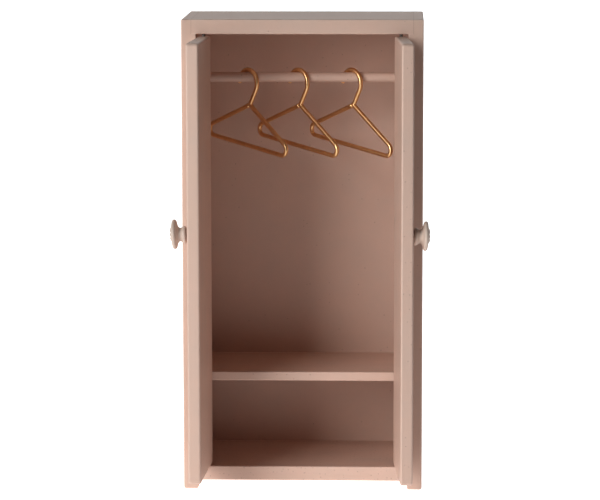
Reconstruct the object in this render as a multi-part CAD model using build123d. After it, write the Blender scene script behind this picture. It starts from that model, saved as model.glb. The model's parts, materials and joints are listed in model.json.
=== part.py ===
from build123d import *
import math
import os

# Dolls' house wardrobe: a painted board carcass, two doors that turn on pins,
# a shelf, and a round rail with three wire hangers.
# Millimetres, Z up. The origin is on the floor, under the middle of the whole
# object as it stands with both doors open. The front faces -Y.

# Carcass
carcass_width = 115.0
carcass_height = 227.0
carcass_depth = 64.0
side_thickness = 7.2
top_thickness = 7.0
bottom_thickness = 7.0
floor_gap = 4.3             # the bottom board is this far off the floor
shelf_thickness = 4.4
shelf_underside = 52.0
top_rebate = 2.4            # how far the top board is let into each side panel
back_thickness = 3.0
back_lap = 3.6              # how far the back panel laps each side panel and the top
back_easing = 0.4           # radius round the back panel's outer face
edge_easing = 0.6           # radius of the sanded outer edges
foot_easing = 1.3           # radius of the two long edges each foot stands on

# Doors
door_thickness = 5.8
hinge_gap = 0.3             # between a door's hinge edge and the side panel
meeting_gap = 0.7           # between the two doors when they are shut
door_gap_below = 0.4
door_gap_above = 1.2
open_face_gap = 0.55        # between the side panel and a door's face at square
shelf_clearance = 0.4       # between the shelf and the corner of a door that swings
inner_corner_radius = 1.0   # the inner of the two upright corners at the hinges
door_corner_radius = 1.6    # of each door's outline, away from the hinges
door_edge_radius = 0.9      # round the faces of each door
left_opening = 93.0         # degrees
right_opening = 94.0

# Hinge pins
pin_radius = 0.8
pin_in_board = 5.0
pin_in_door = 6.0
pin_clearance = 0.08        # radial, between a pin and its bore in the door
bore_end_gap = 0.8          # left beyond the tip of a pin, stud or dowel in its bore

# Knobs
knob_height = {"left": 129.1, "right": 128.6}    # to the middle of the base, off the floor
knob_stand_off = {"left": 1.05, "right": 0.6}    # from the door to the top of the base
knob_tilt = {"left": 2.4, "right": 2.1}          # degrees that each knob points up
knob_from_edge = 7.0        # from the door's free edge to the knob's axis
knob_base_radius = 4.1
knob_base_thickness = 0.7
knob_neck_radius = 3.2
knob_neck_at = 2.5          # from the base to the narrowest part of the neck
knob_rim_radius = 6.95
knob_rim_at = 5.3           # from the base to the middle of the rim
knob_rim_thickness = 1.9
knob_flare = 62             # degrees that the neck turns outward into the rim
knob_flare_radius = 2.6
knob_dome = 0.6             # rise of the face from its rim to its middle
petal_count = 6
petal_ring_radius = 2.2
petal_length = 2.3
petal_width = 1.6
petal_rise = 0.6
petal_draft = 18            # degrees, of the sides of each petal
boss_radius = 0.9
boss_rise = 0.4
stud_radius = 0.75
stud_in_door = 4.0
stud_in_knob = 4.0
collar_radius = 3.0
collar_thickness = 0.5

# Hanging rail
rail_radius = 2.4
rail_below_top = 22.95      # from the top board to the rail's axis
rail_from_front = 32.0
rail_in_side = 3.5

# Hangers
wire_radius = 1.05
hanger_half_width = 28.9    # to the wire's centre line
arm_slope = 27.7            # degrees below level
hanger_corner_radius = 3.0
hook_play = 2.95             # between the rail and the inside of the hook, all round
hook_above_neck = 10.4      # from the neck to the middle of the hook
hook_offset = 2.4           # from the middle of the hook sideways to the neck
neck_bend_radius = 1.2
hook_tip_angle = 183.0      # degrees round from the neck's side of the hook
arm_end_gap = 1.35          # from the neck to the end of the welded arm
hanger_turn = 47.0          # degrees that each hanger's plane is turned from the rail
hook_rest_gap = 0.12
hanger_places = {"left": 23.1, "middle": 47.55, "right": 73.3}    # from the left side

# Brads
brad_radius = 0.6
brad_in_board = 7.0
brad_from_edge = 10.0
back_brad_spacing = 34.0    # the most between two brads along the back panel
back_brad_length = 8.0

# Worked out from the sizes above; the carcass front is y = 0 until the last move
half_width = carcass_width / 2
opening_half = half_width - side_thickness
bottom_top = floor_gap + bottom_thickness
top_underside = carcass_height - top_thickness
back_face = carcass_depth - back_thickness
rail_height = top_underside - rail_below_top
hook_radius = rail_radius + wire_radius + hook_play
pivot_from_side = door_thickness / 2 + open_face_gap
pivot_x = opening_half - pivot_from_side
pivot_y = door_thickness / 2
corner_reach = inner_corner_radius + math.hypot(
    pivot_from_side - hinge_gap - inner_corner_radius, door_thickness / 2 - inner_corner_radius)
shelf_set_back = pivot_y + corner_reach + shelf_clearance
door_bottom = bottom_top + door_gap_below
door_top = top_underside - door_gap_above
door_width = opening_half - hinge_gap - meeting_gap / 2
side_names = {"left": -1, "right": 1}


def block(x, y, z):
    """A box between the two values given along each axis."""
    size = Box(x[1] - x[0], y[1] - y[0], z[1] - z[0], align=(Align.MIN, Align.MIN, Align.MIN))
    return Pos(x[0], y[0], z[0]) * size


def rod(start, direction, length, radius):
    """A round bar from a point along a direction."""
    return extrude(Plane(origin=start, z_dir=direction) * Circle(radius), length)


def along(edge, axis):
    """True where an edge runs along an axis."""
    return abs(abs(edge.tangent_at(0.5).dot(Vector(*axis))) - 1) < 1e-6


def eased(solid, keep, radius=edge_easing):
    """Round the straight edges that keep() picks."""
    return fillet([edge for edge in solid.edges() if keep(edge)], radius)


def easing_strip(start, direction, inward, length, radius=edge_easing):
    """What sanding takes off part of an edge: a square strip less a round one.

    inward is the direction from the edge across both of its faces.
    """
    corner = Vector(*inward) * radius
    other = corner.cross(Vector(*direction))
    frame = Plane(origin=start, x_dir=corner + other, z_dir=direction)
    sign = 1 if frame.to_local_coords(Vector(*start) + corner).Y > 0 else -1
    square = Pos(radius / 2, sign * radius / 2) * Rectangle(radius, radius)
    profile = square - Pos(radius, sign * radius) * Circle(radius)
    return extrude(frame * profile, length)


def knob_axis_x():
    """How far a knob's axis is from the pivot with the door shut."""
    return pivot_x - meeting_gap / 2 - knob_from_edge


def brad(point, direction, depth):
    """A headless brad driven flush with a surface."""
    return rod(point, direction, depth, brad_radius)


def side_brads(height):
    """Two brads through each side panel into the end of a board."""
    group = []
    for sign in side_names.values():
        for y in (brad_from_edge, back_face - brad_from_edge):
            group.append(brad((sign * half_width, y, height), (-sign, 0, 0),
                              side_thickness + brad_in_board))
    return group


def spread(first, last, spacing):
    """Evenly spaced places from first to last, no further apart than spacing."""
    steps = math.ceil((last - first) / spacing)
    return [first + (last - first) * step / steps for step in range(steps + 1)]


def back_brads():
    """Brads round the edge of the back panel, driven from behind."""
    side_x = opening_half + back_lap / 2
    top_z = top_underside + back_lap / 2
    bottom_z = floor_gap + bottom_thickness / 2
    places = [(sign * side_x, z) for sign in side_names.values()
              for z in spread(bottom_top + brad_from_edge, top_underside - brad_from_edge,
                              back_brad_spacing)]
    places += [(x, z) for z in (bottom_z, top_z)
               for x in spread(-opening_half + brad_from_edge, opening_half - brad_from_edge,
                               back_brad_spacing)]
    return [brad((x, carcass_depth, z), (0, -1, 0), back_brad_length) for x, z in places]


def side_panel(sign):
    """A full-height side panel, rebated for the top board and the back panel."""
    outer = sign * half_width
    inner = sign * opening_half
    panel = block(sorted((outer, inner)), (0, carcass_depth), (0, carcass_height))
    let_in = sorted((inner, inner + sign * top_rebate))
    panel -= block(let_in, (0, carcass_depth), (top_underside, carcass_height))
    lap = sorted((inner, inner + sign * back_lap))
    panel -= block(lap, (back_face, carcass_depth), (floor_gap, top_underside + back_lap))
    panel = eased(panel, lambda edge: along(edge, (0, 0, 1))
                  and abs(edge.center().X - outer) < 1e-6)
    panel = eased(panel, lambda edge: edge.center().Z < 1e-6)
    panel = eased(panel, lambda edge: abs(edge.center().Z - carcass_height) < 1e-6
                  and abs(edge.center().X - inner - sign * top_rebate) > 1e-6)
    for low, high in ((foot_easing, floor_gap), (bottom_top, top_underside)):
        panel -= easing_strip((inner, 0, low), (0, 0, 1), (sign, 1, 0), high - low)
    for x, inward in ((outer, -sign), (inner, sign)):
        panel -= easing_strip((x, 0, 0), (0, 1, 0), (inward, 0, 1), carcass_depth, foot_easing)
    panel -= rod((inner, rail_from_front, rail_height), (sign, 0, 0), rail_in_side, rail_radius)
    return panel


def top_board():
    """The top, let into the side panels, with a rebate behind for the back panel."""
    half = opening_half + top_rebate
    board = block((-half, half), (0, carcass_depth), (top_underside, carcass_height))
    board = eased(board, lambda edge: (
        along(edge, (1, 0, 0)) and abs(edge.center().Z - carcass_height) < 1e-6))
    board -= block((-half, half), (back_face, carcass_depth),
                   (top_underside, top_underside + back_lap))
    board -= easing_strip((-opening_half, 0, top_underside), (1, 0, 0), (0, 1, 1),
                          2 * opening_half)
    for sign in side_names.values():
        board -= rod((sign * pivot_x, pivot_y, top_underside), (0, 0, 1), pin_in_board, pin_radius)
    return board


def bottom_board():
    """The bottom board between the side panels, clear of the floor."""
    board = block((-opening_half, opening_half), (0, back_face), (floor_gap, bottom_top))
    board = eased(board, lambda edge: (
        along(edge, (1, 0, 0)) and edge.center().Y < 1e-6))
    for sign in side_names.values():
        board -= rod((sign * pivot_x, pivot_y, bottom_top), (0, 0, -1), pin_in_board, pin_radius)
    return board


def shelf():
    """The shelf, set back so that the doors shut in front of it."""
    board = block((-opening_half, opening_half), (shelf_set_back, back_face),
                  (shelf_underside, shelf_underside + shelf_thickness))
    return eased(board, lambda edge: (
        along(edge, (1, 0, 0)) and abs(edge.center().Y - shelf_set_back) < 1e-6))


def back_panel():
    """The thin back, lying in the rebates of the sides and the top."""
    half = opening_half + back_lap
    panel = block((-half, half), (back_face, carcass_depth), (floor_gap, top_underside + back_lap))
    return eased(panel, lambda edge: abs(edge.center().Y - carcass_depth) < 1e-6, back_easing)


def hanging_rail():
    """A dowel whose ends sit in blind holes in the side panels."""
    half = opening_half + rail_in_side
    return rod((-half, rail_from_front, rail_height), (1, 0, 0), 2 * half, rail_radius)


def hinge_pin(sign, level, direction):
    """A plain pin, half in the fixed board and half in the door."""
    start = Vector(sign * pivot_x, pivot_y, level) - Vector(0, 0, direction * pin_in_board)
    gap = door_gap_below if direction > 0 else door_gap_above
    pin = rod(start, (0, 0, direction), pin_in_board + gap + pin_in_door, pin_radius)
    return chamfer(pin.edges().sort_by(Axis.Z)[-1 if direction > 0 else 0], pin_radius / 4)


def door(sign):
    """A flat door shut in the opening, bored for its pins and its knob's stud."""
    hinge_edge = sign * (opening_half - hinge_gap)
    free_edge = sign * meeting_gap / 2
    slab = block(sorted((hinge_edge, free_edge)), (0, door_thickness), (door_bottom, door_top))

    def near(edge, x=None, y=None, z=None):
        wanted = zip(edge.center(), (x, y, z))
        return all(value is None or abs(here - value) < 1e-6 for here, value in wanted)

    slab = eased(slab, lambda edge: along(edge, (0, 1, 0)) and near(edge, x=free_edge),
                 door_corner_radius)
    slab = eased(slab, lambda edge: along(edge, (0, 0, 1)) and near(edge, x=hinge_edge, y=0),
                 door_thickness / 2)
    slab = eased(slab, lambda edge: near(edge, x=hinge_edge, y=door_thickness),
                 inner_corner_radius)
    slab = eased(slab, lambda edge: near(edge, z=door_bottom) or near(edge, z=door_top),
                 door_edge_radius)
    bore = pin_radius + pin_clearance
    depth = pin_in_door + bore_end_gap
    slab -= rod((sign * pivot_x, pivot_y, door_bottom), (0, 0, 1), depth, bore)
    slab -= rod((sign * pivot_x, pivot_y, door_top), (0, 0, -1), depth, bore)
    return slab - knob_stud(sign)


def knob_place(sign):
    """Where a knob stands on its shut door, its axis out of the door and tipped up a little.

    Its base faces the door, and the top of the base is the part nearest to the door.
    """
    name = "left" if sign < 0 else "right"
    x = sign * (pivot_x - knob_axis_x())
    base_top = Pos(x, -knob_stand_off[name], knob_height[name] + knob_base_radius)
    return base_top * Rot(-knob_tilt[name], 0, 0) * Pos(0, 0, -knob_base_radius) * Rot(90, 0, 0)


def knob_outline():
    """Half the section of a turned knob: base, waist, flared back, rim and domed face."""
    base = Polyline((0, 0), (knob_base_radius, 0), (knob_base_radius, knob_base_thickness))
    half_rim = knob_rim_thickness / 2
    back_radius = knob_rim_radius - half_rim
    rim_back = (back_radius, knob_rim_at - half_rim)
    rim_front = (back_radius, knob_rim_at + half_rim)
    neck = (knob_neck_radius, knob_neck_at)
    waist = TangentArc(neck, base @ 1, tangent=(0, -1))
    flare = JernArc(neck, (0, 1), knob_flare_radius, -knob_flare)
    back = Line(flare @ 1, rim_back)
    rim = ThreePointArc(rim_back, (knob_rim_radius, knob_rim_at), rim_front)
    dome = TangentArc((0, rim_front[1] + knob_dome), rim_front, tangent=(1, 0))
    axis = Line(dome @ 0, (0, 0))
    return make_face(Curve() + [base, waist, flare, back, rim, dome, axis])


def petal():
    """One petal of the rosette, a tapered oval that stands on the domed face."""
    face = knob_rim_at + knob_rim_thickness / 2
    oval = Pos(petal_ring_radius, 0, face) * Ellipse(petal_length / 2, petal_width / 2)
    return extrude(oval, knob_dome + petal_rise, taper=petal_draft)


def knob(sign):
    """A turned knob with a small rosette on its face."""
    body = revolve(Plane.XZ * knob_outline(), Axis.Z)
    for step in range(petal_count):
        body += Rot(0, 0, step * 360 / petal_count) * petal()
    top = knob_rim_at + knob_rim_thickness / 2 + knob_dome + boss_rise
    body += Pos(0, 0, top - boss_radius) * Sphere(boss_radius)
    return knob_place(sign) * body - knob_stud(sign)


def knob_stud(sign):
    """The shouldered stud that holds a knob to its door, its collar against the base."""
    shank = rod((0, 0, -stud_in_door), (0, 0, 1), stud_in_door + stud_in_knob, stud_radius)
    return knob_place(sign) * (shank + rod((0, 0, 0), (0, 0, -1), collar_thickness, collar_radius))


def hanger_wire():
    """One hanger in the XZ plane, with the neck at the origin.

    The wire runs from the tip over the hook, straight down to the neck, and
    round the triangle, back to where its end is welded beside the neck.
    """
    slope = math.radians(arm_slope)
    reach = hanger_half_width - hanger_corner_radius + hanger_corner_radius / math.tan(slope / 2)
    drop = reach * math.tan(slope)
    middle = Vector(-hook_offset, 0, hook_above_neck)
    turn = math.atan2(-middle.Z, -middle.X) + math.acos(hook_radius / middle.length)

    def on_hook(angle):
        return middle + Vector(math.cos(angle), 0, math.sin(angle)) * hook_radius

    tip = math.radians(hook_tip_angle)
    hook = ThreePointArc(on_hook(tip), on_hook((tip + turn) / 2), on_hook(turn))
    arm = Vector(-math.cos(slope), 0, -math.sin(slope))
    frame = FilletPolyline(on_hook(turn), (0, 0, 0), (reach, 0, -drop), (-reach, 0, -drop),
                           arm * arm_end_gap,
                           radius=[neck_bend_radius, hanger_corner_radius, hanger_corner_radius])
    path = Wire([*hook.edges(), *frame.edges()])
    section = Plane(origin=path @ 0, z_dir=path % 0) * Circle(wire_radius)
    wire = sweep(section, path=path)
    return wire + Pos(path @ 0) * Sphere(wire_radius) + Pos(path @ 1) * Sphere(wire_radius)


def hanger(wire, x):
    """A hanger on the rail, hanging with its centre of mass under the hook."""
    middle = Vector(-hook_offset, 0, hook_above_neck)
    mass = wire.center(CenterOf.MASS) - middle
    lean = math.degrees(math.atan2(mass.X, -mass.Z))
    hook_centre = rail_height + rail_radius + hook_rest_gap + wire_radius - hook_radius
    place = Pos(x - opening_half, rail_from_front, hook_centre)
    return place * Rot(0, 0, -hanger_turn) * Rot(0, lean, 0) * Pos(-middle) * wire


def opened(solid, sign, angle):
    """Swing a door piece open about its pins."""
    swing = Pos(sign * pivot_x, pivot_y, 0) * Rot(0, 0, sign * angle)
    return swing * Pos(-sign * pivot_x, -pivot_y, 0) * solid


def build():
    """Every node by name, with the carcass front at y = 0."""
    nodes = {}
    top_nails = side_brads((top_underside + carcass_height) / 2)
    bottom_nails = side_brads((floor_gap + bottom_top) / 2)
    shelf_nails = side_brads(shelf_underside + shelf_thickness / 2)
    back_nails = back_brads()
    nails = top_nails + bottom_nails + shelf_nails + back_nails
    boards = {"top_board": top_board(), "bottom_board": bottom_board(), "shelf": shelf(),
              "back_panel": back_panel()}
    for name, sign in side_names.items():
        boards["side_panel_" + name] = side_panel(sign)
    for name, board in boards.items():
        nodes[name] = board - nails
    nodes["top_brads"] = Compound(top_nails)
    nodes["bottom_brads"] = Compound(bottom_nails)
    nodes["shelf_brads"] = Compound(shelf_nails)
    nodes["back_brads"] = Compound(back_nails)
    nodes["hanging_rail"] = hanging_rail()
    wire = hanger_wire()
    for name, x in hanger_places.items():
        nodes["hanger_" + name] = hanger(wire, x)
    openings = {"left": left_opening, "right": right_opening}
    for name, sign in side_names.items():
        nodes["hinge_pin_bottom_" + name] = hinge_pin(sign, bottom_top, 1)
        nodes["hinge_pin_top_" + name] = hinge_pin(sign, top_underside, -1)
        nodes["door_" + name] = opened(door(sign), sign, openings[name])
        nodes["knob_" + name] = opened(knob(sign), sign, openings[name])
        nodes["knob_stud_" + name] = opened(knob_stud(sign), sign, openings[name])
    return nodes


os.makedirs("parts", exist_ok=True)
pieces = build()
whole = Compound(list(pieces.values())).bounding_box()
to_origin = Pos(-whole.center().X, -whole.center().Y, 0)
for name, piece in pieces.items():
    export_step(to_origin * piece, "parts/" + name + ".step")
offset = to_origin.position
print("carcass front y", offset.Y, "carcass middle x", offset.X)
print("pins x", offset.X - pivot_x, offset.X + pivot_x, "y", offset.Y + pivot_y)
print("rail y", offset.Y + rail_from_front, "z", rail_height)
print("size", whole.size)
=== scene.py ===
import json
import math
import bpy
import numpy as np
from mathutils import Matrix, Vector


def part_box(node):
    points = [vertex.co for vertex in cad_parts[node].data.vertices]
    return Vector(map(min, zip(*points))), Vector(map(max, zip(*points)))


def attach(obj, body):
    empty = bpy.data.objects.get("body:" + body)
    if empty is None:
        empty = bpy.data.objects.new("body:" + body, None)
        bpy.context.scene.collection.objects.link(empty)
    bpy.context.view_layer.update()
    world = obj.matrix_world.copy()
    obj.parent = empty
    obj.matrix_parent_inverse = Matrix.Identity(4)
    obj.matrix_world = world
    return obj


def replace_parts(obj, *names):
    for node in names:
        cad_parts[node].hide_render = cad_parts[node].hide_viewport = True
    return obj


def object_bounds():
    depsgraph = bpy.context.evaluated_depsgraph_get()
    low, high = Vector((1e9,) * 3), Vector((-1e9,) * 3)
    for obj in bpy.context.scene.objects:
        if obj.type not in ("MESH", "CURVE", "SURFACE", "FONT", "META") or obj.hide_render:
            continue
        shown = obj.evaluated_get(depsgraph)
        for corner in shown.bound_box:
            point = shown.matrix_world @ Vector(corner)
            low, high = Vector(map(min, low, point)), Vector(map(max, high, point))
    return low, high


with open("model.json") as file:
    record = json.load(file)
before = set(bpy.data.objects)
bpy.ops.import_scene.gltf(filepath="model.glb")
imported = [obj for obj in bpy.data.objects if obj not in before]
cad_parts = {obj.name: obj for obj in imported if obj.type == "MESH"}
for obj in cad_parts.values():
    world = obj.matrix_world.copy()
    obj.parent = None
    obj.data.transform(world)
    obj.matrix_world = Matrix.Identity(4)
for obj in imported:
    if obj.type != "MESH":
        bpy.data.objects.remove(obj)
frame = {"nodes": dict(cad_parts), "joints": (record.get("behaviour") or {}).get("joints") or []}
cad_low, cad_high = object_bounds()
nodes = frame["nodes"]
joints = {joint["name"]: joint for joint in frame["joints"]}

# ---------------------------------------------------------------------------
# The case stands on the floor on its two side panels, which give its left,
# right, front and back. The camera has a long lens, a little right of the
# middle and above the top, tipped down as one looks at a small thing on a table.
left_low, left_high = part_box("side_panel_left")
right_low, right_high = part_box("side_panel_right")
case_middle_x = (left_low.x + right_high.x) / 2
case_front_y, case_back_y = left_low.y, left_high.y

eye_right, eye_away, eye_height, focal_length = 0.0472, 1.3841, 0.3160, 175.6
eye = Vector((case_middle_x + eye_right, case_front_y - eye_away, eye_height))
turn_left, tip_down, roll = math.radians(2.0), math.radians(8.18), math.radians(-0.07)
camera_data = bpy.data.cameras.new("camera")
camera_data.sensor_width = 36.0
camera_data.lens = focal_length
camera_data.clip_start, camera_data.clip_end = 0.05, 20.0
camera = bpy.data.objects.new("camera", camera_data)
bpy.context.scene.collection.objects.link(camera)
look = Vector((-math.sin(turn_left) * math.cos(tip_down),
               math.cos(turn_left) * math.cos(tip_down), -math.sin(tip_down)))
level = Vector((math.cos(turn_left), math.sin(turn_left), 0))
upright = level.cross(look)
across = math.cos(roll) * level + math.sin(roll) * upright
turned = Matrix((across, across.cross(look), -look)).transposed()
camera.matrix_world = Matrix.Translation(eye) @ turned.to_4x4()
bpy.context.scene.camera = camera
bpy.context.scene.view_settings.view_transform = "Standard"
bpy.context.scene.view_settings.gamma = 0.833


# ---------------------------------------------------------------------------
# The studio: a wide white sheet that curves up into a white wall. It is lit
# through from below round the case and behind it, like a light table, and one
# tall soft lamp stands on the left in front. The room beyond is dark.
def put(tree, kind, inputs=None, **settings):
    """Add a shader node; each input is a plain value, or a socket to link."""
    node = tree.nodes.new("ShaderNode" + kind)
    for name, value in settings.items():
        setattr(node, name, value)
    for key, value in (inputs or {}).items():
        if isinstance(value, bpy.types.NodeSocket):
            tree.links.new(value, node.inputs[key])
        else:
            node.inputs[key].default_value = value
    return node


def new_material(name, metallic=0.0):
    """A node material; returns it with its node tree and its Principled shader."""
    material = bpy.data.materials.new(name)
    material.use_nodes = True
    shader = material.node_tree.nodes["Principled BSDF"]
    shader.inputs["Metallic"].default_value = metallic
    return material, material.node_tree, shader


def skin(name, points, material, around=True, ends=True):
    """A mesh over an (m, n, 3) grid of points.

    With around the last column joins the first; with ends the first and last
    rows are closed by fans to their middles. Faces point out where the way round
    a row, seen looking along the rows, is clockwise, as it is on the brads. On
    the hangers and the knobs it is the other way, so their faces point in.
    The map "grid" holds the share of the way along the rows and round them.
    """
    rows, columns = points.shape[:2]
    index = np.arange(rows * columns).reshape(rows, columns)
    if around:
        index = np.concatenate([index, index[:, :1]], axis=1)
    steps = np.stack(np.meshgrid(np.arange(rows), np.arange(index.shape[1]), indexing="ij"), -1)
    cut = [(slice(None, -1), slice(None, -1)), (slice(None, -1), slice(1, None)),
           (slice(1, None), slice(1, None)), (slice(1, None), slice(None, -1))]
    faces = np.stack([index[part].ravel() for part in cut], axis=1).tolist()
    marks = [np.stack([steps[part].reshape(-1, 2) for part in cut], axis=1).reshape(-1, 2)]
    places = points.reshape(-1, 3)
    if ends:
        first, last = len(places), len(places) + 1
        places = np.concatenate([places, points[:1].mean(axis=1), points[-1:].mean(axis=1)])
        faces += np.stack([index[0, 1:], index[0, :-1], np.full(columns, first)], axis=1).tolist()
        faces += np.stack([index[-1, :-1], index[-1, 1:], np.full(columns, last)], axis=1).tolist()
        outer = [steps[0, 1:], steps[0, :-1], steps[0, :-1] - (1, 0)]
        marks.append(np.stack(outer, axis=1).reshape(-1, 2))
        outer = [steps[-1, :-1], steps[-1, 1:], steps[-1, :-1] + (1, 0)]
        marks.append(np.stack(outer, axis=1).reshape(-1, 2))
    mesh = bpy.data.meshes.new(name)
    mesh.from_pydata(places.tolist(), [], faces)
    grid = mesh.uv_layers.new(name="grid")
    grid.data.foreach_set("uv", (np.concatenate(marks) / (rows, columns)).ravel())
    mesh.polygons.foreach_set("use_smooth", [True] * len(mesh.polygons))
    mesh.materials.append(material)
    piece = bpy.data.objects.new(name, mesh)
    bpy.context.scene.collection.objects.link(piece)
    return piece


def area_light(name, place, aim, width, height, watts, colour):
    """A soft oblong lamp pointed at a place."""
    lamp = bpy.data.lights.new(name, "AREA")
    lamp.shape, lamp.energy, lamp.color = "RECTANGLE", watts, colour
    lamp.size, lamp.size_y = width, height
    holder = bpy.data.objects.new(name, lamp)
    bpy.context.scene.collection.objects.link(holder)
    holder.location = place
    holder.rotation_euler = (Vector(aim) - Vector(place)).to_track_quat("-Z", "Y").to_euler()


def maths(tree, operation, first, second=0.0, third=0.0):
    """The output of one Math node."""
    return put(tree, "Math", {0: first, 1: second, 2: third}, operation=operation).outputs[0]


glow, glow_reach, glow_behind, seen_glow = 0.72, 0.45, 0.06, 1.1
sheet_white, tree, shader = new_material("sheet_white")
shader.inputs["Roughness"].default_value = 0.8
shader.inputs["Base Color"].default_value = (0.93, 0.93, 0.93, 1)
shader.inputs["Emission Color"].default_value = (1, 1, 1, 1)
place = put(tree, "TexCoord").outputs["Object"]
away = put(tree, "VectorMath", {0: place}, operation="LENGTH").outputs["Value"]
behind = maths(tree, "GREATER_THAN", put(tree, "SeparateXYZ", {"Vector": place}).outputs["Y"],
               glow_behind)
lit = maths(tree, "MAXIMUM", maths(tree, "LESS_THAN", away, glow_reach), behind)
seen = put(tree, "LightPath").outputs["Is Camera Ray"]
lit_glow = maths(tree, "MULTIPLY", lit, glow)
strength = put(tree, "MapRange", {"Value": seen, "To Min": lit_glow,
                                  "To Max": seen_glow}).outputs["Result"]
tree.links.new(strength, shader.inputs["Emission Strength"])
sweep_radius, sweep_start, sheet_reach, wall_height = 0.9, 1.6, 4.0, 4.0
quarter = np.linspace(0, math.pi / 2, 17)
run = np.concatenate([[-sheet_reach], sweep_start + sweep_radius * np.sin(quarter),
                      [sweep_start + sweep_radius]])
rise = np.concatenate([[0.0], sweep_radius * (1 - np.cos(quarter)), [wall_height]])
reach = np.linspace(-sheet_reach, sheet_reach, 3)
skin("studio_sheet", np.stack(np.broadcast_arrays(
    reach[None, :], run[:, None], rise[:, None]), axis=-1), sheet_white, around=False, ends=False)

middle_height = cad_high.z / 2
lamp_away, lamp_turn, lamp_lift = 1.55, math.radians(38), math.radians(21)
lamp_width, lamp_height, lamp_watts, lamp_colour = 0.68, 1.1, 17.8, (0.94, 1.0, 1.0)
area_light("key_lamp", (-lamp_away * math.cos(lamp_lift) * math.sin(lamp_turn),
                        -lamp_away * math.cos(lamp_lift) * math.cos(lamp_turn),
                        middle_height + lamp_away * math.sin(lamp_lift)),
           (0, 0, middle_height), lamp_width, lamp_height, lamp_watts, lamp_colour)
room_strength, backdrop_strength = 0.0, 1.0
room = bpy.data.worlds.new("room")
room.use_nodes = True
tree = room.node_tree
seen = put(tree, "LightPath").outputs["Is Camera Ray"]
strength = put(tree, "MapRange", {"Value": seen, "To Min": room_strength,
                                  "To Max": backdrop_strength}).outputs["Result"]
tree.links.new(strength, tree.nodes["Background"].inputs["Strength"])
tree.nodes["Background"].inputs["Color"].default_value = (1.0, 1.0, 1.0, 1)
bpy.context.scene.world = room


# ---------------------------------------------------------------------------
# The paint: two brushed coats of satin powder pink over primed board. It keeps
# the marks of the brush along the board, a little orange peel, and pin holes over
# the open grain, darkened brown as painted shade. It draws back thin and pale from
# the sanded arrises, and that pale colour is partly a painted highlight on the rounded edges.
def new_group(name, inputs, outputs):
    """A shader node group with named sockets; returns its tree, input and output nodes."""
    tree = bpy.data.node_groups.new(name, "ShaderNodeTree")
    for way, sockets in (("INPUT", inputs), ("OUTPUT", outputs)):
        for socket, kind in sockets.items():
            tree.interface.new_socket(name=socket, in_out=way, socket_type="NodeSocket" + kind)
    return tree, tree.nodes.new("NodeGroupInput"), tree.nodes.new("NodeGroupOutput")


def blended(tree, amount, first, second, way="MIX"):
    """The output of a colour Mix node."""
    node = put(tree, "Mix", data_type="RGBA", blend_type=way)
    for key, value in (("Factor_Float", amount), ("A_Color", first), ("B_Color", second)):
        socket = next(item for item in node.inputs if item.identifier == key)
        if isinstance(value, bpy.types.NodeSocket):
            tree.links.new(value, socket)
        else:
            socket.default_value = value
    return next(item for item in node.outputs if item.identifier == "Result_Color")


def stretched(tree, place, scale):
    """A vector scaled by a different amount along each axis."""
    return put(tree, "VectorMath", {0: place, 1: scale}, operation="MULTIPLY").outputs["Vector"]


# The pin holes are mixed toward dark brown: painted shade in the pits.
cloud_tint, hole_shade_brown, hole_shade_share = (0.955, 0.985, 1.0, 1), (0.24, 0.13, 0.09, 1), 0.36
least_roughness, mark_roughness, peel_roughness = 0.36, 0.16, 0.06
mark_height, peel_height = 0.55, 0.30
brushed_paint, given, made = new_group(
    "brushed_paint",
    {"Place": "Vector", "Paint": "Color", "Brush Scale": "Vector", "Pin Holes": "Float"},
    {"Color": "Color", "Roughness": "Float", "Height": "Float"})
tree, place = brushed_paint, given.outputs["Place"]
cloud = put(tree, "TexNoise", {"Vector": place, "Scale": 70.0, "Detail": 4.0,
                               "Roughness": 0.6}).outputs["Fac"]
cloudy = put(tree, "MapRange", {"Value": cloud, "From Min": 0.35,
                                "From Max": 0.7}).outputs["Result"]
marks = put(tree, "TexNoise", {"Vector": stretched(tree, place, given.outputs["Brush Scale"]),
                               "Scale": 1.0, "Detail": 3.0}).outputs["Fac"]
peel = put(tree, "TexNoise", {"Vector": place, "Scale": 1500.0, "Detail": 1.0}).outputs["Fac"]
cells = put(tree, "TexVoronoi", {"Vector": place, "Scale": 620.0})
near = put(tree, "MapRange", {"Value": cells.outputs["Distance"], "From Min": 0.26,
                              "From Max": 0.08}).outputs["Result"]
chosen = put(tree, "SeparateColor", {"Color": cells.outputs["Color"]}).outputs["Red"]
drift = put(tree, "TexNoise", {"Vector": place, "Scale": 120.0, "Detail": 0.0}).outputs["Fac"]
share = maths(tree, "MULTIPLY", given.outputs["Pin Holes"], drift)
hole = maths(tree, "MULTIPLY", near, maths(tree, "LESS_THAN", chosen, share))
shade = blended(tree, cloudy, given.outputs["Paint"], cloud_tint, "MULTIPLY")
# Painted shade: each pin hole darkens toward brown.
shade = blended(tree, maths(tree, "MULTIPLY", hole, hole_shade_share), shade, hole_shade_brown)
tree.links.new(shade, made.inputs["Color"])
rough = maths(tree, "MULTIPLY_ADD", marks, mark_roughness, least_roughness)
rough = maths(tree, "MULTIPLY_ADD", peel, peel_roughness, rough)
tree.links.new(rough, made.inputs["Roughness"])
coat = maths(tree, "MULTIPLY_ADD", peel, peel_height, maths(tree, "MULTIPLY", marks, mark_height))
tree.links.new(maths(tree, "SUBTRACT", coat, hole), made.inputs["Height"])
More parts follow.
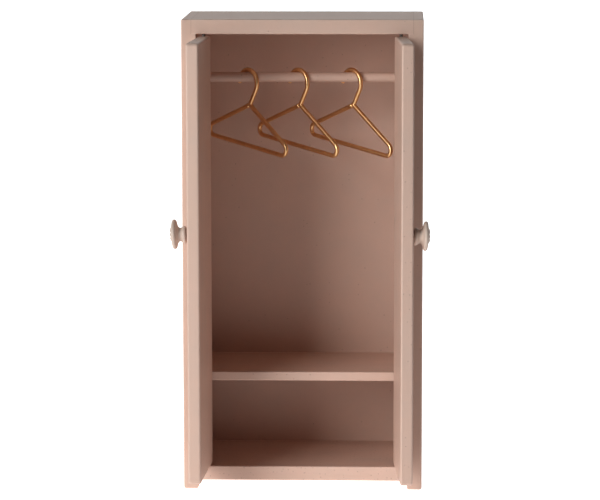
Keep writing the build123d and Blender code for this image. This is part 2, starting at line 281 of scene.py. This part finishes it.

# Arrises: along each axis of a board, the distance to the nearer of its two
# faces; the second smallest of the three tells how far off the nearest arris is.
# The mask pales the paint there: partly paint worn thin, partly a painted highlight.
arris_wear, given, made = new_group(
    "arris_wear", {"Place": "Vector", "Low": "Vector", "High": "Vector", "Width": "Float"},
    {"Mask": "Float"})
tree, place = arris_wear, given.outputs["Place"]
from_low = put(tree, "VectorMath", {0: place, 1: given.outputs["Low"]}, operation="SUBTRACT")
from_high = put(tree, "VectorMath", {0: given.outputs["High"], 1: place}, operation="SUBTRACT")
nearest = put(tree, "VectorMath", {0: from_low.outputs["Vector"], 1: from_high.outputs["Vector"]},
              operation="MINIMUM").outputs["Vector"]
apart = put(tree, "SeparateXYZ", {"Vector": nearest}).outputs
smaller = maths(tree, "MINIMUM", apart["X"], apart["Y"])
larger = maths(tree, "MAXIMUM", apart["X"], apart["Y"])
second = maths(tree, "MAXIMUM", smaller, maths(tree, "MINIMUM", larger, apart["Z"]))
ragged = put(tree, "TexNoise", {"Vector": place, "Scale": 260.0, "Detail": 3.0}).outputs["Fac"]
reach = maths(tree, "MULTIPLY", maths(tree, "MULTIPLY", ragged, 2.0), given.outputs["Width"])
worn_and_lit = put(tree, "MapRange", {"Value": second, "From Min": 0.0, "From Max": reach,
                              "To Min": 1.0, "To Max": 0.0}).outputs["Result"]
tree.links.new(worn_and_lit, made.inputs["Mask"])

paint_pink = (0.71, 0.495, 0.41, 1)
# Pale arris colour: partly paint worn thin, partly a painted highlight on the rounded edges.
arris_pale_and_highlight = (0.80, 0.60, 0.52, 1)
arris_width, arris_mark_share = 0.0009, 0.5
seam_half_width, seam_share, seam_brown = 0.00011, 0.35, (0.35, 0.19, 0.14, 1)


def painted(name, low, high, brush_along="z", pin_holes=0.1, own_place=None, seams=(),
            paint=paint_pink, relief=0.00012):
    """A coat of paint for one board whose box runs from low to high.

    own_place(tree, place) turns the place into the board's own frame. A seam is
    (axis, where, lowest height): a hair line in the paint over a glued joint.
    """
    material, tree, shader = new_material(name + "_paint")
    place = put(tree, "TexCoord").outputs["Object"]
    if own_place:
        place = own_place(tree, place)
    along, across = 40.0, 1100.0
    scale = [along if axis == brush_along else across for axis in "xyz"]
    coat = put(tree, "Group", node_tree=brushed_paint)
    tree.links.new(place, coat.inputs["Place"])
    coat.inputs["Paint"].default_value = paint
    coat.inputs["Brush Scale"].default_value = scale
    coat.inputs["Pin Holes"].default_value = pin_holes
    wear_and_highlight = put(tree, "Group", node_tree=arris_wear)
    tree.links.new(place, wear_and_highlight.inputs["Place"])
    wear_and_highlight.inputs["Low"].default_value = tuple(low)
    wear_and_highlight.inputs["High"].default_value = tuple(high)
    wear_and_highlight.inputs["Width"].default_value = arris_width
    # The arrises turn pale: worn paint and a painted highlight.
    worn_and_lit = maths(tree, "MULTIPLY", wear_and_highlight.outputs["Mask"], arris_mark_share)
    colour = blended(tree, worn_and_lit, coat.outputs["Color"], arris_pale_and_highlight)
    height = coat.outputs["Height"]
    apart = put(tree, "SeparateXYZ", {"Vector": place}).outputs
    for axis, where, lowest in seams:
        beside = maths(tree, "ABSOLUTE", maths(tree, "SUBTRACT", apart[axis], where))
        line = maths(tree, "LESS_THAN", beside, seam_half_width)
        line = maths(tree, "MULTIPLY", line, maths(tree, "GREATER_THAN", apart["Z"], lowest))
        colour = blended(tree, maths(tree, "MULTIPLY", line, seam_share), colour, seam_brown)
        height = maths(tree, "SUBTRACT", height, line)
    tree.links.new(colour, shader.inputs["Base Color"])
    tree.links.new(coat.outputs["Roughness"], shader.inputs["Roughness"])
    bump = put(tree, "Bump", {"Height": height, "Strength": 0.5, "Distance": relief})
    tree.links.new(bump.outputs["Normal"], shader.inputs["Normal"])
    return material


def finish_node(name, material):
    """Give a CAD node its finish."""
    nodes[name].data.materials.clear()
    nodes[name].data.materials.append(material)


# ---------------------------------------------------------------------------
# The case: side panels down to the floor, the top let into them, and the
# bottom, back and shelf between them, glued and nailed before painting. The
# joints of the top show as hair lines at its front corners.
top_low, top_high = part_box("top_board")
bottom_low, bottom_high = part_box("bottom_board")
joint_left, joint_right, shoulder = top_low.x, top_high.x, top_low.z
top_relief = 0.0003
for name, seam in (("side_panel_left", joint_left), ("side_panel_right", joint_right)):
    finish_node(name, painted(name, *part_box(name), seams=[("X", seam, shoulder)]))
finish_node("top_board", painted(
    "top_board", (left_low.x, top_low.y, top_low.z), (right_high.x, top_high.y, top_high.z),
    relief=top_relief, seams=[("X", joint_left, shoulder), ("X", joint_right, shoulder)]))
finish_node("bottom_board", painted("bottom_board", bottom_low, bottom_high, brush_along="x",
                                    pin_holes=1.2))
finish_node("shelf", painted("shelf", *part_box("shelf"), brush_along="x", pin_holes=0.2))
finish_node("back_panel", painted("back_panel", *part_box("back_panel"), pin_holes=0.08))

# ---------------------------------------------------------------------------
# Brads: thin headless steel nails, punched a hair below the surface, filled
# and painted over, so that each leaves a shallow dimple in the paint.
brad_radius, dimple_depth, side_brad_length, back_brad_length = 0.0006, 0.00018, 0.0142, 0.008
back_brad_spacing, back_brad_inset = 0.034, 0.010
dish_middle, point_start, point_radius = 0.1, 0.9, 0.5


def brads(name, heads, inward, length):
    """A list of brads, one at each head: a round shank whose face is a shallow dish.

    With t from dish_middle to 1 out from the middle, the dish is
    dimple_depth (1 - t^2 / 2) deep. The shank narrows from point_start of its length.
    """
    out = np.linspace(dish_middle, 1, 6)
    radius = np.concatenate([out, [1, point_radius]]) * brad_radius
    depth = np.concatenate([dimple_depth * (1 - out ** 2 / 2), [length * point_start, length]])
    inward = np.array(inward, float)
    side = np.cross(inward, np.roll(inward, 1))
    other = np.cross(inward, side)
    angle = np.linspace(0, 2 * math.pi, 16, endpoint=False)
    ring = np.cos(angle)[:, None] * side + np.sin(angle)[:, None] * other
    shape = radius[:, None, None] * ring[None] + depth[:, None, None] * inward
    return [skin(f"{name}_{count}", shape + np.array(head), brad_paint)
            for count, head in enumerate(heads)]


def joined(name, pieces):
    """One piece made of several."""
    with bpy.context.temp_override(active_object=pieces[0], object=pieces[0],
                                   selected_objects=pieces, selected_editable_objects=pieces):
        bpy.ops.object.join()
    pieces[0].name = pieces[0].data.name = name
    return pieces[0]


brad_paint = painted("brads", cad_low, cad_high, pin_holes=0.0)
for row in ("top_brads", "bottom_brads", "shelf_brads"):
    low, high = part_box(row)
    ends = (low.y + brad_radius, high.y - brad_radius)
    height = (low.z + high.z) / 2
    pieces = brads(row + "_left", [(low.x, y, height) for y in ends], (1, 0, 0), side_brad_length)
    pieces += brads(row + "_right", [(high.x, y, height) for y in ends], (-1, 0, 0),
                    side_brad_length)
    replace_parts(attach(joined(row + "_painted", pieces), "carcass"), row)
low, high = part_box("back_brads")
edge_x = (low.x + brad_radius, high.x - brad_radius)
edge_z = (low.z + brad_radius, high.z - brad_radius)


def spread(first, last, spacing):
    """Even places from first to last, no further apart than spacing."""
    return np.linspace(first, last, math.ceil((last - first) / spacing) + 1)


uprights = spread(bottom_high.z + back_brad_inset, top_low.z - back_brad_inset, back_brad_spacing)
levels = spread(left_high.x + back_brad_inset, right_low.x - back_brad_inset, back_brad_spacing)
heads = [(x, case_back_y, z) for x in edge_x for z in uprights]
heads += [(x, case_back_y, z) for z in edge_z for x in levels]
pieces = brads("back_brads", heads, (0, -1, 0), back_brad_length)
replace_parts(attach(joined("back_brads_painted", pieces), "carcass"), "back_brads")

# ---------------------------------------------------------------------------
# The hanging rail: a birch dowel, sanded, painted with the case, its ends in
# blind holes in the side panels.
rail_low, rail_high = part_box("hanging_rail")
rail_axis = (rail_low + rail_high) / 2
rail_radius = (rail_high.z - rail_low.z) / 2
finish_node("hanging_rail", painted("rail", rail_low, rail_high, brush_along="x", pin_holes=0.15))

# ---------------------------------------------------------------------------
# The hangers: one length of round wire each, bent into a hook and a triangle,
# its end welded beside the neck, then plated antique gold and lacquered.
wire_radius, half_width, arm_slope = 0.00105, 0.0289, math.radians(27.7)
corner_radius, neck_radius, hook_play, wire_step = 0.0030, 0.0012, 0.00295, 0.0006
hook_radius = rail_radius + wire_radius + hook_play
hook_above_neck, hook_offset, hook_tip = 0.0104, 0.0024, math.radians(183)
arm_end_gap, hook_rest_gap, hanger_turn = 0.00135, 0.00012, math.radians(47)
weld_swell, weld_reach, dome_start = 0.16, 1.2, 0.25


def corner_arc(before, corner, after, radius, count=11):
    """Points on the arc of a radius that rounds the corner between two straight runs."""
    back = (before - corner) / np.linalg.norm(before - corner)
    on = (after - corner) / np.linalg.norm(after - corner)
    half = math.acos(np.clip(back @ on, -1, 1)) / 2
    middle = corner + (back + on) / np.linalg.norm(back + on) * radius / math.sin(half)
    start = corner + back * radius / math.tan(half) - middle
    finish = corner + on * radius / math.tan(half) - middle
    sweep = math.pi - 2 * half
    t = np.linspace(0, 1, count)[:, None]
    return middle + (np.sin((1 - t) * sweep) * start + np.sin(t * sweep) * finish) / math.sin(sweep)


def wire_line():
    """The wire's centre line as (x, z), with the neck at the origin.

    An arc over the rail, a straight stem that leaves it as a tangent, and a
    triangle with two equal slopes and rounded corners.
    """
    reach = half_width - corner_radius + corner_radius / math.tan(arm_slope / 2)
    drop = reach * math.tan(arm_slope)
    middle = np.array([-hook_offset, hook_above_neck])
    stem = math.atan2(-middle[1], -middle[0]) + math.acos(hook_radius / np.linalg.norm(middle))
    angle = np.linspace(hook_tip, stem, 49)[:, None]
    hook = middle + hook_radius * np.concatenate([np.cos(angle), np.sin(angle)], axis=1)
    neck, right, left = np.zeros(2), np.array([reach, -drop]), np.array([-reach, -drop])
    end = -np.array([math.cos(arm_slope), math.sin(arm_slope)]) * arm_end_gap
    line = np.concatenate([hook, corner_arc(hook[-1], neck, right, neck_radius, 7),
                           corner_arc(neck, right, left, corner_radius),
                           corner_arc(right, left, end, corner_radius), end[None]])
    along = np.concatenate([[0], np.cumsum(np.linalg.norm(np.diff(line, axis=0), axis=1))])
    extra = np.arange(wire_step, along[-1], wire_step)
    spots = np.unique(np.concatenate([along, extra[np.abs(
        extra[:, None] - along[None]).min(axis=1) > wire_step / 3]]))
    return np.stack([np.interp(spots, along, line[:, axis]) for axis in (0, 1)], axis=1), spots


def hanger(name, hook_x):
    """The wire as a round tube along its centre line, with a dome at each end.

    With r the wire's radius, a dome's radius at a distance d beyond the end is the
    end's radius times sqrt(1 - (d / r)^2). At a distance d before the weld the wire
    is thicker by weld_swell exp(-(d / (weld_reach r))^2) of its radius.
    """
    line, along = wire_line()
    start, finish = line[:1] - line[1:2], line[-1:] - line[-2:-1]
    start *= wire_radius / np.linalg.norm(start)
    finish *= wire_radius / np.linalg.norm(finish)
    dome_angle = np.linspace(dome_start, math.pi / 2, 6)
    domes, beyond = np.sin(dome_angle)[:-1], np.cos(dome_angle)[:-1, None]
    cap_in, cap_out = line[:1] + start * beyond, (line[-1:] + finish * beyond)[::-1]
    path = np.concatenate([cap_in, line, cap_out])
    weld = 1 + weld_swell * np.exp(-((along[-1] - along) / (weld_reach * wire_radius)) ** 2)
    radius = wire_radius * np.concatenate([domes, weld, (1 + weld_swell) * domes[::-1]])
    gradient = np.gradient(path, axis=0)
    gradient[:len(cap_in)], gradient[-len(cap_out):] = -start, finish
    ahead = gradient / np.linalg.norm(gradient, axis=1, keepdims=True)
    normal = np.stack([-ahead[:, 1], ahead[:, 0]], axis=1)
    angle = np.linspace(0, 2 * math.pi, 20, endpoint=False)
    flat = path[:, None] + radius[:, None, None] * np.cos(angle)[None, :, None] * normal[:, None]
    depth = radius[:, None] * np.sin(angle)[None]
    x, z = flat[..., 0] + hook_offset, flat[..., 1] - hook_above_neck
    weight = np.gradient(along)
    mass = (line * weight[:, None]).sum(axis=0) / weight.sum() + (hook_offset, -hook_above_neck)
    lean = math.atan2(mass[0], -mass[1])
    x, z = x * math.cos(lean) + z * math.sin(lean), z * math.cos(lean) - x * math.sin(lean)
    hook_z = rail_axis.z + rail_radius + hook_rest_gap + wire_radius - hook_radius
    points = np.stack([hook_x + x * math.cos(hanger_turn) + depth * math.sin(hanger_turn),
                       rail_axis.y - x * math.sin(hanger_turn) + depth * math.cos(hanger_turn),
                       hook_z + z], axis=-1)
    return skin(name, points, gold)


gold_bright, gold_dark, tarnish_share = (0.93, 0.62, 0.33, 1), (0.72, 0.42, 0.18, 1), 0.5
gold_roughness, rub_roughness = 0.28, 0.06
gold, tree, shader = new_material("antique_gold", metallic=1.0)
shader.inputs["Anisotropic"].default_value = 0.7
tree.links.new(put(tree, "Tangent", direction_type="UV_MAP", uv_map="grid").outputs["Tangent"],
               shader.inputs["Tangent"])
place = put(tree, "TexCoord").outputs["Object"]
cloud = put(tree, "TexNoise", {"Vector": place, "Scale": 260.0, "Detail": 3.0}).outputs["Fac"]
tarnish = put(tree, "MapRange", {"Value": cloud, "From Min": 0.45,
                                 "From Max": 0.75}).outputs["Result"]
colour = blended(tree, maths(tree, "MULTIPLY", tarnish, tarnish_share), gold_bright, gold_dark)
tree.links.new(colour, shader.inputs["Base Color"])
rub = put(tree, "TexNoise", {"Vector": stretched(tree, place, (900.0, 900.0, 250.0)),
                             "Scale": 1.0, "Detail": 2.0}).outputs["Fac"]
rough = maths(tree, "MULTIPLY_ADD", rub, rub_roughness, gold_roughness)
tree.links.new(rough, shader.inputs["Roughness"])
bump = put(tree, "Bump", {"Height": rub, "Strength": 0.05, "Distance": 0.00001})
tree.links.new(bump.outputs["Normal"], shader.inputs["Normal"])
for side in ("left", "middle", "right"):
    piece = hanger(side + "_wire_hanger", joints[side + "_hanger_swing"]["pos_m"][0])
    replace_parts(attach(piece, side + "_hanger"), "hanger_" + side)

# ---------------------------------------------------------------------------
# The doors: flat boards with every edge sanded round, painted all over. Each
# turns on a plain steel pin at its top and bottom, open a little past square.
steel_dark, steel_light = (0.14, 0.13, 0.12, 1), (0.30, 0.28, 0.26, 1)
steel_roughness, drawn_roughness = 0.4, 0.2
steel, tree, shader = new_material("dull_steel", metallic=1.0)
place = put(tree, "TexCoord").outputs["Object"]
drawn = put(tree, "TexNoise", {"Vector": stretched(tree, place, (3000.0, 3000.0, 200.0)),
                               "Scale": 1.0, "Detail": 2.0}).outputs["Fac"]
colour = blended(tree, drawn, steel_dark, steel_light)
tree.links.new(colour, shader.inputs["Base Color"])
rough = maths(tree, "MULTIPLY_ADD", drawn, drawn_roughness, steel_roughness)
tree.links.new(rough, shader.inputs["Roughness"])


def shut_points(node, pin, shut):
    """A node's vertices as they lie when its door is shut, shut radians about its pin."""
    mesh = nodes[node].data
    points = np.empty(len(mesh.vertices) * 3)
    mesh.vertices.foreach_get("co", points)
    x, y = points[0::3] - pin[0], points[1::3] - pin[1]
    return np.stack([pin[0] + x * math.cos(shut) - y * math.sin(shut),
                     pin[1] + x * math.sin(shut) + y * math.cos(shut), points[2::3]], axis=1)


def shut_frame(pin, shut):
    """A function that turns places on an open door into those of the shut door."""
    def turn(tree, place):
        back = (math.cos(shut) * pin[0] - math.sin(shut) * pin[1],
                math.sin(shut) * pin[0] + math.cos(shut) * pin[1])
        return put(tree, "Mapping", {"Vector": place, "Rotation": (0, 0, shut), "Location": (
            pin[0] - back[0], pin[1] - back[1], 0)}).outputs["Vector"]
    return turn


shut_angle = {"left": math.radians(joints["left_door_hinge"]["range_deg"][1]),
              "right": math.radians(joints["right_door_hinge"]["range_deg"][0])}
pins = {side: joints[side + "_door_hinge"]["pos_m"] for side in shut_angle}
for side, shut in shut_angle.items():
    points = shut_points("door_" + side, pins[side], shut)
    finish_node("door_" + side, painted("door_" + side, points.min(axis=0), points.max(axis=0),
                                        pin_holes=0.2, own_place=shut_frame(pins[side], shut)))
    for end in ("top", "bottom"):
        finish_node(f"hinge_pin_{end}_{side}", steel)

# ---------------------------------------------------------------------------
# The knobs: cast in one piece, with a small base, a narrow waist, a thin round
# rim and a rosette on the face, under thick paint. Each is held by a steel stud
# with a collar, and neither was driven quite home, so both tip up a little.
knob_tilt = {"left": math.radians(2.4), "right": math.radians(2.1)}
base_radius, base_thickness, waist_radius, waist_at = 0.0041, 0.0007, 0.0032, 0.0025
rim_radius, rim_at, rim_half, dome = 0.00695, 0.0053, 0.00095, 0.0006
foot_round, flare_opening, flare_rise, face_middle = 0.0002, 2.2, 0.85, 0.02
petal_count, petal_ring, petal_width, petal_rise = 8, 0.0026, 0.0008, 0.00060
petal_least, petal_bluntness = 0.15, 0.8
boss_share, boss_radius = 0.9, 0.0009
line_share, line_ring, line_width = 0.3, 0.0047, 0.0003


def knob_profile():
    """The knob's half section as (radius, distance from the base).

    A rounded foot, a waist that is a cosine of distance, a flare whose radius and
    distance are powers of one parameter, a half round rim, and a face that rises
    as a parabola to its middle.
    """
    t = np.linspace(0, 1, 9)
    foot = np.stack([base_radius - foot_round * (1 - np.sin(t * math.pi / 2)),
                     base_thickness * t], axis=1)
    hollow = np.stack([waist_radius + (base_radius - waist_radius) * (
        1 + np.cos(t * math.pi)) / 2, base_thickness + (waist_at - base_thickness) * t], axis=1)
    back_at = rim_at - rim_half
    flare = np.stack([waist_radius + (rim_radius - rim_half - waist_radius) * t ** flare_opening,
                      waist_at + (back_at - waist_at) * t ** flare_rise], axis=1)
    half_turn = np.linspace(-math.pi / 2, math.pi / 2, 13)
    rim = np.stack([rim_radius - rim_half + rim_half * np.cos(half_turn),
                    rim_at + rim_half * np.sin(half_turn)], axis=1)
    inward = np.linspace(1, face_middle, 40)
    face = np.stack([(rim_radius - rim_half) * inward,
                     rim_at + rim_half + dome * (1 - inward ** 2)], axis=1)
    return np.concatenate([foot, hollow[1:], flare[1:], rim[1:], face[1:]])


def rosette(radius, angle):
    """Height of the rosette: lobes round a ring, a boss in the middle and a fine groove.

    Each fades out as exp(-(distance / width)^n), and the lobes as a power of a cosine.
    """
    lobes = np.abs(np.cos(petal_count * angle / 2)) ** petal_bluntness
    lobes = petal_least + (1 - petal_least) * lobes
    ring = np.exp(-(np.abs(radius - petal_ring) / petal_width) ** 3)
    boss = boss_share * np.exp(-(radius / boss_radius) ** 4)
    line = line_share * np.exp(-((radius - line_ring) / line_width) ** 2)
    return petal_rise * (ring * lobes + boss - line)


def knob(name, base, tilt, pin, shut):
    """The profile turned round its axis, the rosette added on its face, set on its open door.

    The axis tips up by tilt, but each ring leans down by as much, so that the knob
    is sheared by twice the tilt and not turned as a whole.
    """
    profile = knob_profile()
    angle = np.linspace(0, 2 * math.pi, 96, endpoint=False)
    radius = np.broadcast_to(profile[:, :1], (len(profile), len(angle)))
    out = np.broadcast_to(profile[:, 1:], radius.shape).copy()
    on_face = profile[:, 1] > rim_at + rim_half
    out[on_face] += rosette(radius[on_face], angle[None])
    x, up = radius * np.sin(angle), radius * np.cos(angle)
    y = -out * math.cos(tilt) - up * math.sin(tilt)
    z = up * math.cos(tilt) + out * math.sin(tilt)
    x, y, z = base[0] + x, base[1] + y, base[2] + z
    x, y = x - pin[0], y - pin[1]
    open_x = pin[0] + x * math.cos(-shut) - y * math.sin(-shut)
    open_y = pin[1] + x * math.sin(-shut) + y * math.cos(-shut)
    return skin(name, np.stack([open_x, open_y, z], axis=-1), knob_paint)


# The box is far larger than a knob, so that no pale arris, worn paint or painted highlight, shows
# on its round forms.
knob_paint = painted("knobs", (-1, -1, -1), (1, 1, 1), pin_holes=0.35,
                     paint=(0.72, 0.56, 0.48, 1))
for side, shut in shut_angle.items():
    stud = shut_points("knob_stud_" + side, pins[side], shut)
    base = (stud.min(axis=0) + stud.max(axis=0)) / 2
    piece = knob(side + "_knob", base, knob_tilt[side], pins[side], shut)
    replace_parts(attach(piece, side + "_door"), "knob_" + side)
    finish_node("knob_stud_" + side, knob_paint)
